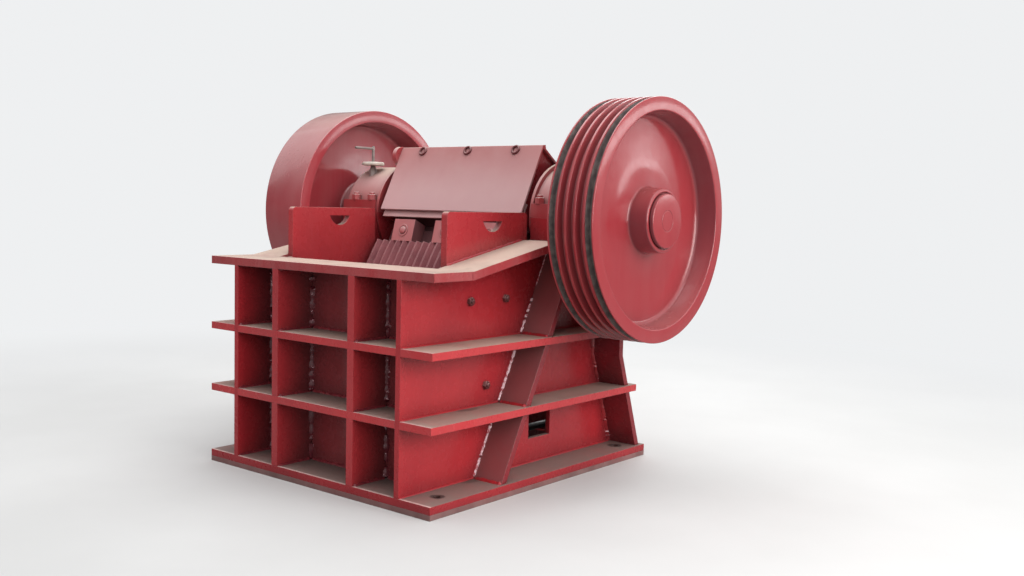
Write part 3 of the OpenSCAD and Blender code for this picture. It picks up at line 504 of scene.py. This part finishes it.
# Near black steel with little shine for the toggle parts: painted shade of the dark pit seen through the side
# opening.
PIT_SHADE_STEEL = steel("pit_shade_steel", (0.018, 0.016, 0.016), 0.0, 0.2, 0.04, 0.06)
STEM_STEEL = steel("stem_steel", (0.34, 0.27, 0.25), 0.2, 0.3)
BAY_WELD = weld("bay_weld", (0.17, 0.020, 0.028), (0.27, 0.034, 0.042), 0.35)
SPATTER_WELD = weld("spatter_weld", (0.15, 0.020, 0.030), (0.90, 0.58, 0.62), 0.25, 0.60, 0.66, 75.0)
PALE_WELD = weld("pale_weld", (0.50, 0.08, 0.10), (0.95, 0.70, 0.74), 0.45, 0.40, 0.52, 85.0)
RUBBED = rubber("rubbed_groove")
CREAM = steel("cream_cap", (0.90, 0.80, 0.69), 0.0, 0.1, 0.1)
SPECIAL = {
    "hood": HOOD_PAINT, "guard_bar": GUARD_PAINT, "jaw_wedges": WEDGE_PAINT,
    "cheek_plate_left": CHEEK_PAINT, "cheek_plate_right": CHEEK_PAINT,
    "bearing_cap_left": HOUSING_PAINT, "bearing_cap_right": HOUSING_PAINT,
    "swing_jaw": JAW_PAINT, "swing_jaw_ribs": JAW_PAINT, "lifting_rings": RING_PAINT,
    "toggle_plate": PIT_SHADE_STEEL, "toggle_seat_rear": PIT_SHADE_STEEL, "toggle_seat_front": PIT_SHADE_STEEL,
    "adjusting_shims": PIT_SHADE_STEEL, "tension_rods": DARK_STEEL,
    "front_wall": WALL_SHADE_PAINT, "front_ribs": FRONT_LIT_PAINT, "front_stiffeners": STIFF_SHADE_PAINT,
    "rear_stiffeners": STIFF_SHADE_PAINT, "lower_flange": LOWER_PAINT, "upper_flange": FLANGE_PAINT,
    "feed_flange": FEED_PAINT, "base_flange": BASE_PAINT, "sole_plate": SOLE_PAINT,
}


def dress_nodes():
    """Gives every CAD node the material of its slot in the record, or its own finish within that slot."""
    for part in frame["record"]["subparts"]:
        name = part["node"]
        mesh = nodes[name].data
        mesh.materials.clear()
        mesh.materials.append(SPECIAL.get(name, SLOTS[part["material_slot"]]))


# Pieces in mesh code, in millimetres

class Solid:
    """Gathers closed shapes, in millimetres, into one object of the scene."""

    def __init__(self):
        self.points = []
        self.faces = []

    def add(self, points, faces, mirrored=False):
        start = len(self.points)
        side = -1 if mirrored else 1
        self.points += [(side * x, y, z) for x, y, z in points]
        self.faces += [tuple(start + i for i in (reversed(f) if mirrored else f)) for f in faces]

    def rings(self, rings, closed=False, mirrored=False):
        """Skins rings of equal length; open ends get caps."""
        n = len(rings[0])
        points = [p for ring in rings for p in ring]
        count = len(rings)
        faces = []
        for i in range(count if closed else count - 1):
            j = (i + 1) % count
            faces += [(i * n + k, i * n + (k + 1) % n, j * n + (k + 1) % n, j * n + k) for k in range(n)]
        if not closed:
            faces += [tuple(reversed(range(n))), tuple((count - 1) * n + k for k in range(n))]
        self.add(points, faces, mirrored)

    def make(self, name, material, body, slot, angle=35):
        """Makes the object with its faces turned outwards, and says what it rides on; its slot is not used.
        """
        mesh = bpy.data.meshes.new(name)
        mesh.from_pydata([(x * MM, along(y), z * MM) for x, y, z in self.points], [], self.faces)
        mesh.validate()
        shape = bmesh.new()
        shape.from_mesh(mesh)
        bmesh.ops.recalc_face_normals(shape, faces=shape.faces)
        shape.to_mesh(mesh)
        shape.free()
        mesh.materials.append(material)
        mesh.shade_smooth()
        mesh.set_sharp_from_angle(angle=math.radians(angle))
        piece = bpy.data.objects.new(name, mesh)
        bpy.context.scene.collection.objects.link(piece)
        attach(piece, body)
        return piece


def rounded_line(corners, steps=6):
    """Points of a closed outline; each corner is (a, b, radius), and a radius of 0 stays sharp."""
    line = []
    n = len(corners)
    for i, (a, b, radius) in enumerate(corners):
        here = np.array((a, b), float)
        if radius == 0:
            line.append((a, b))
            continue
        before = np.array(corners[i - 1][:2], float) - here
        after = np.array(corners[(i + 1) % n][:2], float) - here
        before, after = before / np.linalg.norm(before), after / np.linalg.norm(after)
        half = 0.5 * math.acos(max(-1, min(1, float(before @ after))))
        reach = radius / math.tan(half)
        middle = here + (before + after) / np.linalg.norm(before + after) * radius / math.sin(half)
        start, end = here + before * reach - middle, here + after * reach - middle
        turn = math.atan2(start[0] * end[1] - start[1] * end[0], float(start @ end))
        for k in range(steps + 1):
            angle = turn * k / steps
            c, s = math.cos(angle), math.sin(angle)
            line.append((middle[0] + c * start[0] - s * start[1], middle[1] + s * start[0] + c * start[1]))
    return line


def lathe(solid, outline, segments=192, mirrored=False, y=SHAFT_Y, z=SHAFT_Z):
    """Turns a closed outline of (radius, x) about an axis that runs across the machine."""
    rings = []
    for i in range(segments):
        angle = 2 * math.pi * i / segments
        c, s = math.cos(angle), math.sin(angle)
        rings.append([(x, y + r * c, z + r * s) for r, x in outline])
    solid.rings(rings, closed=True, mirrored=mirrored)


def frame_of(direction):
    """Two unit vectors square to a direction, and the direction itself."""
    w = np.array(direction, float)
    w /= np.linalg.norm(w)
    u = np.cross(w, (0, 0, 1) if abs(w[2]) < 0.9 else (1, 0, 0))
    u /= np.linalg.norm(u)
    return u, np.cross(w, u), w


def turned_along(solid, centre, direction, outline, sides=24, turn=0.0):
    """A round or many-sided solid; outline gives (radius, distance along the direction) from end to end."""
    u, v, w = frame_of(direction)
    rings = []
    for radius, reach in outline:
        ring = []
        for k in range(sides):
            a = turn + 2 * math.pi * k / sides
            ring.append(tuple(np.array(centre) + radius * (math.cos(a) * u + math.sin(a) * v) + reach * w))
        rings.append(ring)
    solid.rings(rings)


def hexagon(solid, centre, direction, across, height, turn=0.0):
    """A hexagon head or nut whose outer corners are turned off to a cone."""
    u, v, w = frame_of(direction)
    flat = across / 2
    corner = flat / math.cos(math.pi / 6)
    rings = [[], [], [], []]
    for k in range(24):
        a = 2 * math.pi * k / 24
        off = (a + math.pi / 6) % (math.pi / 3) - math.pi / 6
        reach = flat / math.cos(off)
        place = math.cos(a + turn) * u + math.sin(a + turn) * v
        drop = 0.55 * (reach - flat)
        for ring, radius, level in zip(rings, (reach, reach, 0.95 * flat, 0.55 * flat),
                                       (-1.0, height - drop - 0.06 * corner, height, height)):
            ring.append(tuple(np.array(centre) + radius * place + level * w))
    solid.rings(rings)


def bolt_end(solid, centre, direction, across, height, thread, stick):
    """Nut and the stud's end that stands out of it."""
    turn = rng.uniform(0, math.pi / 3)
    base = np.array(centre, float)
    hexagon(solid, base, direction, across, height, turn)
    turned_along(solid, base + height * frame_of(direction)[2], direction,
                 [(thread, -2), (thread, stick - 2), (thread - 2, stick)], 20)


def bead(solid, start, end, side_a, side_b, leg=9.0, wander=0.18, gaps=0.0, pitch=7.0, mirrored=False):
    """A fillet weld along a corner; side_a and side_b point along the two plates away from the corner.

    Its size varies by the share wander, and gaps is the chance that a ring is left out and the bead breaks.
    """
    start, end = np.array(start, float), np.array(end, float)
    a = np.array(side_a, float) / np.linalg.norm(side_a)
    b = np.array(side_b, float) / np.linalg.norm(side_b)
    length = float(np.linalg.norm(end - start))
    way = (end - start) / length
    count = max(2, int(length / pitch))
    run = []
    outward = float(np.cross(a, b) @ way) < 0
    for i in range(count + 1):
        if gaps and run and rng.random() < gaps:
            if len(run) > 1:
                solid.rings(run, mirrored=mirrored)
            run = []
            continue
        size = leg * (1 + rng.uniform(-wander, wander)) * (1 + 0.10 * (i % 2))
        if i in (0, count):
            size *= 0.55
        foot = start + way * length * i / count
        ring = [foot - 2 * (a + b), foot + size * a - b, foot + 0.74 * size * a + 0.42 * size * b,
                foot + 0.42 * size * a + 0.74 * size * b, foot + size * b - a]
        ring = [tuple(p) for p in ring]
        run.append(ring[::-1] if outward else ring)
    if len(run) > 1:
        solid.rings(run, mirrored=mirrored)


X, Y, Z = np.eye(3)


def rear_at(z):
    return max(REAR_TOP, REAR_FOOT - REAR_LEAN * (z - BASE_Z))


def stiff_at(z):
    return STIFF_FOOT + STIFF_LEAN * (z - BASE_Z)


KNEE_Z = BASE_Z + (REAR_FOOT - REAR_TOP) / REAR_LEAN
LEVELS = [(BASE_Z, LOW_Z - FLANGE_T), (LOW_Z, HIGH_Z - FLANGE_T), (HIGH_Z, FEED_Z - TOP_T)]


def make_bay_welds():
    """Beads in the nine bays of the front: thin ones round each bay and lumpy upright ones at the wall."""
    thin, lumpy = Solid(), Solid()
    columns = [(-INNER_HALF, -RIB_X - RIB_T / 2), (-RIB_X + RIB_T / 2, RIB_X - RIB_T / 2),
               (RIB_X + RIB_T / 2, INNER_HALF)]
    for low, high in LEVELS:
        for left, right in columns:
            for x, way in ((left, X), (right, -X)):
                bead(lumpy, (x, BAY_D, low), (x, BAY_D, high), way, -Y, 11, 0.40, 0.05, 8)
                bead(thin, (x, 6, low), (x, BAY_D - 8, low), way, Z, 7)
                bead(thin, (x, 6, high), (x, BAY_D - 8, high), way, -Z, 7)
            bead(thin, (left + 8, BAY_D, low), (right - 8, BAY_D, low), Z, -Y, 8)
            bead(thin, (left + 8, BAY_D, high), (right - 8, BAY_D, high), -Z, -Y, 8)
    thin.make("bay_welds", BAY_WELD, "frame", "red_paint")
    lumpy.make("wall_welds", SPATTER_WELD, "frame", "red_paint", 60)


def weld_flanges(run, red):
    """Beads over and under the flanges of one side plate."""
    run(red, (HALF_W, 4, BASE_Z), (HALF_W, REAR_FOOT, BASE_Z), X, Z, leg=6)
    for z in (LOW_Z, HIGH_Z):
        run(red, (HALF_W, 4, z), (HALF_W, rear_at(z) - 4, z), X, Z, leg=5.5)
        run(red, (HALF_W, 4, z - FLANGE_T), (HALF_W, rear_at(z) - 4, z - FLANGE_T), X, -Z, leg=5.5)
    under = FEED_Z - TOP_T
    run(red, (HALF_W, 4, under), (HALF_W, WALL_Y, under), X, -Z, leg=5.5)
    run(red, (HALF_W, WALL_Y, under), (HALF_W, SLOPE_END, SEAT_Z - TOP_T), X, -Z, leg=5.5)


def weld_front_stiffener(run, red, pale, pale_runs, low, high):
    """Beads round the sloping stiffener between two flanges, with pale ones along its front."""
    bottom, top = stiff_at(low), stiff_at(high)
    foot = np.array((bottom, low))
    rise = np.array((top - bottom, high - low), float)
    for start, end, leg, gaps in pale_runs:
        run(pale, (HALF_W, *(foot + start * rise)), (HALF_W, *(foot + end * rise)), X, -Y,
            leg=leg, wander=0.45, gaps=gaps, pitch=5)
    run(red, (HALF_W, bottom + STIFF_T, low), (HALF_W, top + STIFF_T, high), X, Y, leg=9)
    for y, way in ((bottom, -Y), (bottom + STIFF_T, Y)):
        run(red, (HALF_W + 8, y, low), (STIFF_HALF, y, low), Z, way, leg=8)
    if high < SEAT_Z - TOP_T:
        for y, way in ((top, -Y), (top + STIFF_T, Y)):
            run(red, (HALF_W + 8, y, high), (STIFF_HALF, y, high), -Z, way, leg=8)


def weld_rear_stiffener(run, red, pale, low, high):
    """A bead in front of the rear stiffener, bent at the knee, and a lumpy pale one at its foot."""
    foot, head = rear_at(low) - STIFF_T, rear_at(high) - STIFF_T
    stops = [(foot, low), (head, high)]
    if low < KNEE_Z < high:
        stops.insert(1, (REAR_TOP - STIFF_T, KNEE_Z))
    for (y0, z0), (y1, z1) in zip(stops, stops[1:]):
        run(red, (HALF_W, y0, z0), (HALF_W, y1, z1), X, -Y, leg=9)
    run(pale, (HALF_W, foot + 0.02 * (head - foot), low + 6),
        (HALF_W, foot + 0.2 * (head - foot), low + 0.2 * (high - low)), X, -Y,
        leg=9, wander=0.6, gaps=0.3, pitch=6)


def weld_feed_flange(run, red):
    """Small beads on the feed flange's outer edge, and one along its slope beside the feed mouth."""
    edge = FLANGE_HALF - 1
    for y in (2, WALL_Y - 7):
        run(red, (edge, y, FEED_Z - TOP_T + 2), (edge, y, FEED_Z - 3), X, Y, leg=2.4, pitch=5)
    slope = np.array((0, SLOPE_END - WALL_Y, SEAT_Z - FEED_Z), float)
    slope /= np.linalg.norm(slope)
    square = np.array((0, -slope[2], slope[1]))
    foot = FEED_Z + (CHEEK_Y - WALL_Y) * slope[2] / slope[1]
    run(red, (INNER_HALF, CHEEK_Y, foot), (INNER_HALF, SLOPE_END, SEAT_Z), X, square, leg=6)


# Pale beads in front of a stiffener, as (start, end, leg, gaps), with start and end as shares of its rise
PLAIN_RUN = ((0.03, 0.97, 5.5, 0.03),)
BROKEN_RUN = ((0.02, 0.42, 5.5, 0.25), (0.55, 0.97, 3, 0.0))
STIFF_SPANS = ((LEVELS[0], PLAIN_RUN), (LEVELS[1], PLAIN_RUN), ((HIGH_Z, SEAT_Z - TOP_T), BROKEN_RUN))


def make_side_welds():
    """Beads along the flanges and stiffeners of both side plates."""
    red, pale = Solid(), Solid()
    for mirrored in (False, True):
        run = partial(bead, mirrored=mirrored)
        weld_flanges(run, red)
        for (low, high), pale_runs in STIFF_SPANS:
            weld_front_stiffener(run, red, pale, pale_runs, low, high)
            weld_rear_stiffener(run, red, pale, low, high)
        weld_feed_flange(run, red)
    red.make("side_welds", SEAM_PAINT, "frame", "red_paint")
    pale.make("bare_welds", PALE_WELD, "frame", "red_paint", 60)


def make_rear_welds():
    """Beads that hold the rear wall, the toggle beam and the spring bracket between the side plates."""
    beads = Solid()
    for mirrored in (False, True):
        for front, back, low, high in (REAR_WALL, TOGGLE_BEAM, BRACKET):
            for y, way in ((front, -Y), (back, Y)):
                bead(beads, (INNER_HALF, y, low + 2), (INNER_HALF, y, high - 2), -X, way, 8,
                     mirrored=mirrored)
    for y, way in ((BRACKET[0], -Y), (BRACKET[1], Y)):
        bead(beads, (-INNER_HALF + 8, y, BASE_Z), (INNER_HALF - 8, y, BASE_Z), way, Z, 7)
    beads.make("rear_welds", SEAM_PAINT, "frame", "red_paint")


def make_frame_bolts():
    """Nuts of the cheek plates' bolts, and nuts and bolt heads of the bearing caps and covers."""
    dark, red = Solid(), Solid()
    for side in (1, -1):
        for y, z in CHEEK_NUTS:
            bolt_end(dark, (side * HALF_W, y, z), (side, 0, 0), 26, 12, 8, 6)
        for x in CAP_BOLT_X:
            for y in (SHAFT_Y - CAP_BOLT_Y, SHAFT_Y + CAP_BOLT_Y):
                bolt_end(red, (side * x, y, SHAFT_Z + 50), (0, 0, 1), 32, 22, 11, 9)
        for k in range(6):
            angle = math.pi / 6 + k * math.pi / 3
            place = (side * (HOUSING_END + 12), SHAFT_Y + COVER_BOLT_R * math.cos(angle),
                     SHAFT_Z + COVER_BOLT_R * math.sin(angle))
            hexagon(red, place, (side, 0, 0), 19, 9, rng.uniform(0, 1))
    dark.make("side_bolts", NUT_PAINT, "frame", "red_paint")
    red.make("housing_bolts", BOLT_PAINT, "frame", "red_paint")


JAW_TOP = np.array((0, SHAFT_Y - 245, SHAFT_Z - 105))


def make_wedge_bolts():
    """Bolts that press the wedge blocks against the jaw plate."""
    bolts = Solid()
    lean = JAW_LEAN - math.radians(9)
    face = np.array((0, -math.cos(lean), math.sin(lean)))
    rise = np.array((0, math.sin(lean), math.cos(lean)))
    into = np.array((0, math.cos(JAW_LEAN), -math.sin(JAW_LEAN)))
    foot = JAW_TOP + 6 * into + 43 * rise
    for x in WEDGE_X:
        centre = foot + x * X
        turned_along(bolts, centre, face, [(25, -1), (25, 1.5), (24, 2.5), (18, 2.5), (18, 0.5)], 48)
        turned_along(bolts, centre, face, [(15, -1), (15, 4), (12, 6.5), (5, 7.5)], 48)
    bolts.make("wedge_bolts", WEDGE_PAINT, "pitman", "red_paint")


def wheel_outline(width):
    """Section of a wheel as cast: filleted web, raised ring round the hub and rounded hub ends."""
    inner = WHEEL_R - RIM_T
    web = WHEEL_X - WEB_IN
    back = web - WEB_T
    return [
        (SHAFT_R, HUB_IN, 0), (HUB_R, HUB_IN, 5), (HUB_R + 4, back, 14), (inner - 12, back, 16),
        (inner, WHEEL_X - width, 3), (WHEEL_R, WHEEL_X - width, 3), (WHEEL_R, WHEEL_X, 3),
        (inner, WHEEL_X, 4), (inner - 10, web, 17), (190, web, 400), (HUB_R + 2, web + 12, 9),
        (HUB_R - 3, HUB_END - 1, 7), (HUB_R - 15, HUB_END - 1, 2), (HUB_R - 16, HUB_END - 7, 1.5),
        (HUB_R - 25, HUB_END - 7, 0), (SHAFT_R, HUB_END - 7, 0),
    ]


def make_flywheel():
    """The wheel's section turned about the shaft, with the rim's plain outside."""
    solid = Solid()
    lathe(solid, rounded_line(wheel_outline(FLY_W)), 256, mirrored=True)
    piece = solid.make("flywheel_casting", FLY_PAINT, "rotor", "red_paint", 40)
    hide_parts("flywheel")


GROOVE_MIDDLES = [WHEEL_X - PULLEY_W / 2 + (i - GROOVES // 2) * GROOVE_PITCH for i in range(GROOVES)]
GROOVE_FLOOR = WHEEL_R - GROOVE_DEEP


def groove_half(depth):
    """Half the width of a belt groove at a depth under the rim."""
    return GROOVE_HALF - depth * GROOVE_SLOPE


def make_pulley():
    """The wheel's section with the belt grooves cut in its rim."""
    corners = wheel_outline(PULLEY_W)
    start = corners.index((WHEEL_R, WHEEL_X - PULLEY_W, 3)) + 1
    foot = groove_half(GROOVE_DEEP)
    grooves = []
    for x in GROOVE_MIDDLES:
        grooves += [(WHEEL_R, x - GROOVE_HALF, 1.6), (GROOVE_FLOOR, x - foot, 2),
                    (GROOVE_FLOOR, x + foot, 2), (WHEEL_R, x + GROOVE_HALF, 1.6)]
    solid = Solid()
    lathe(solid, rounded_line(corners[:start] + grooves + corners[start:]), 256)
    piece = solid.make("pulley_casting", WHEEL_PAINT, "rotor", "red_paint", 40)
    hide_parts("grooved_pulley")


def make_rubbings():
    """Thin dark linings that the belts left in the first and the last groove."""
    solid = Solid()
    drop = 4
    half, foot = groove_half(drop), groove_half(GROOVE_DEEP)
    top = WHEEL_R - drop
    for x in (GROOVE_MIDDLES[0], GROOVE_MIDDLES[-1]):
        lathe(solid, [(top, x - half - 1), (top, x - half + 0.5),
                      (GROOVE_FLOOR + 0.6, x - foot + 0.5), (GROOVE_FLOOR + 0.6, x + foot - 0.5),
                      (top, x + half - 0.5), (top, x + half + 1),
                      (GROOVE_FLOOR - 2, x + foot + 1), (GROOVE_FLOOR - 2, x - foot - 1)], 192)
    solid.make("groove_rubbings", RUBBED, "rotor", "spring_steel")


def make_shaft_caps():
    """Round caps on the shaft's ends, with a shallow ring turned in the face."""
    back, face, ring = HUB_END - 2, HUB_END + 12, HUB_END + 11
    outline = rounded_line([(0.5, back, 0), (95, back, 0), (95, face, 4), (38, face, 0), (37, ring, 0),
                            (35, ring, 0), (34, face, 0), (0.5, face, 0)])
    for mirrored, name in ((False, "shaft_cap_right"), (True, "shaft_cap_left")):
        solid = Solid()
        lathe(solid, outline, 128, mirrored=mirrored)
        piece = solid.make(name + "_face", WHEEL_PAINT, "rotor", "red_paint", 40)
        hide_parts(name)


def make_oilers():
    """Grease cups on the bearing caps: a flat cream disc on a stem, with an arm at its top."""
    cream, dark = Solid(), Solid()
    for side in (1, -1):
        x, y, z = side * OILER_X, SHAFT_Y - 100, SHAFT_Z + 146
        turned_along(dark, (x, y, z), Z, [(17, -8), (17, 26), (12, 34), (9, 48)], 32)
        turned_along(cream, (x, y, z + 46), Z, [(40, 0), (46, 3), (46, 10), (42, 14), (16, 16)], 64)
        turned_along(dark, (x, y, z + 58), Z, [(6, -2), (6, 64), (4, 68)], 20)
        turned_along(dark, (x, y - 6 * side, z + 116), side * Y, [(4, 0), (5, 2), (5, 104), (4, 106)], 16)
    cream.make("oiler_discs", CREAM, "frame", "machined_steel")
    dark.make("oiler_stems", STEM_STEEL, "frame", "machined_steel")


def make_springs():
    """Round wire springs on the two tension rods."""
    turns, length, wire, mean = 6, 162, 7, 38
    for side, name in ((1, "spring_right"), (-1, "spring_left")):
        solid = Solid()
        rings = []
        steps = 36 * turns
        for i in range(steps + 1):
            t = i / steps
            a = 2 * math.pi * turns * t
            radial = np.array((math.cos(a), 0, math.sin(a)))
            y = BRACKET[1] + wire + (length - 2 * wire) * t
            centre = np.array((side * SPRING_X, y, SPRING_Z)) + mean * radial
            rings.append([tuple(centre + wire * (math.cos(b) * radial + math.sin(b) * Y))
                          for b in (2 * math.pi * k / 12 for k in range(12))])
        solid.rings(rings)
        piece = solid.make(name + "_coil", SLOTS["spring_steel"], "frame", "spring_steel", 60)
        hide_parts(name)


def make_floor():
    """A pale floor that fades into the backdrop, seen from any side."""
    s = Shader(bpy.data.materials.new("floor"))
    tone = s.mix(s.span(s.noise(0.8, 4), 0.3, 0.7), (0.66, 0.655, 0.64), (0.71, 0.705, 0.69))
    seen = s.add("ShaderNodeLightPath", "Is Camera Ray")
    pale = s.add("ShaderNodeBsdfPrincipled", Base_Color=s.mix(seen, (0.30, 0.29, 0.28), tone), Roughness=0.8)
    flat = s.add("ShaderNodeMapping", Vector=s.place, Scale=(1, 1, 0))
    away = s.math("MULTIPLY", s.span(s.vector("LENGTH", flat), 1.7, 4.6), seen)
    blend = s.tree.nodes.new("ShaderNodeMixShader")
    for socket, value in zip(blend.inputs, (away, pale, s.add("ShaderNodeEmission", Color=BACKDROP))):
        s.put(socket, value)
    mesh = bpy.data.meshes.new("floor")
    half = 60
    corners = [(-half, -half, 0), (half, -half, 0), (half, half, 0), (-half, half, 0)]
    mesh.from_pydata(corners, [], [(0, 1, 2, 3)])
    mesh.materials.append(s.give(blend.outputs[0]))
    floor = bpy.data.objects.new("floor", mesh)
    bpy.context.scene.collection.objects.link(floor)


make_camera()
make_world()
make_lights()
make_floor()
dress_nodes()
make_bay_welds()
make_side_welds()
make_rear_welds()
make_frame_bolts()
make_wedge_bolts()
make_flywheel()
make_pulley()
make_rubbings()
make_shaft_caps()
make_springs()
make_oilers()

bpy.context.scene.view_settings.view_transform = "Standard"
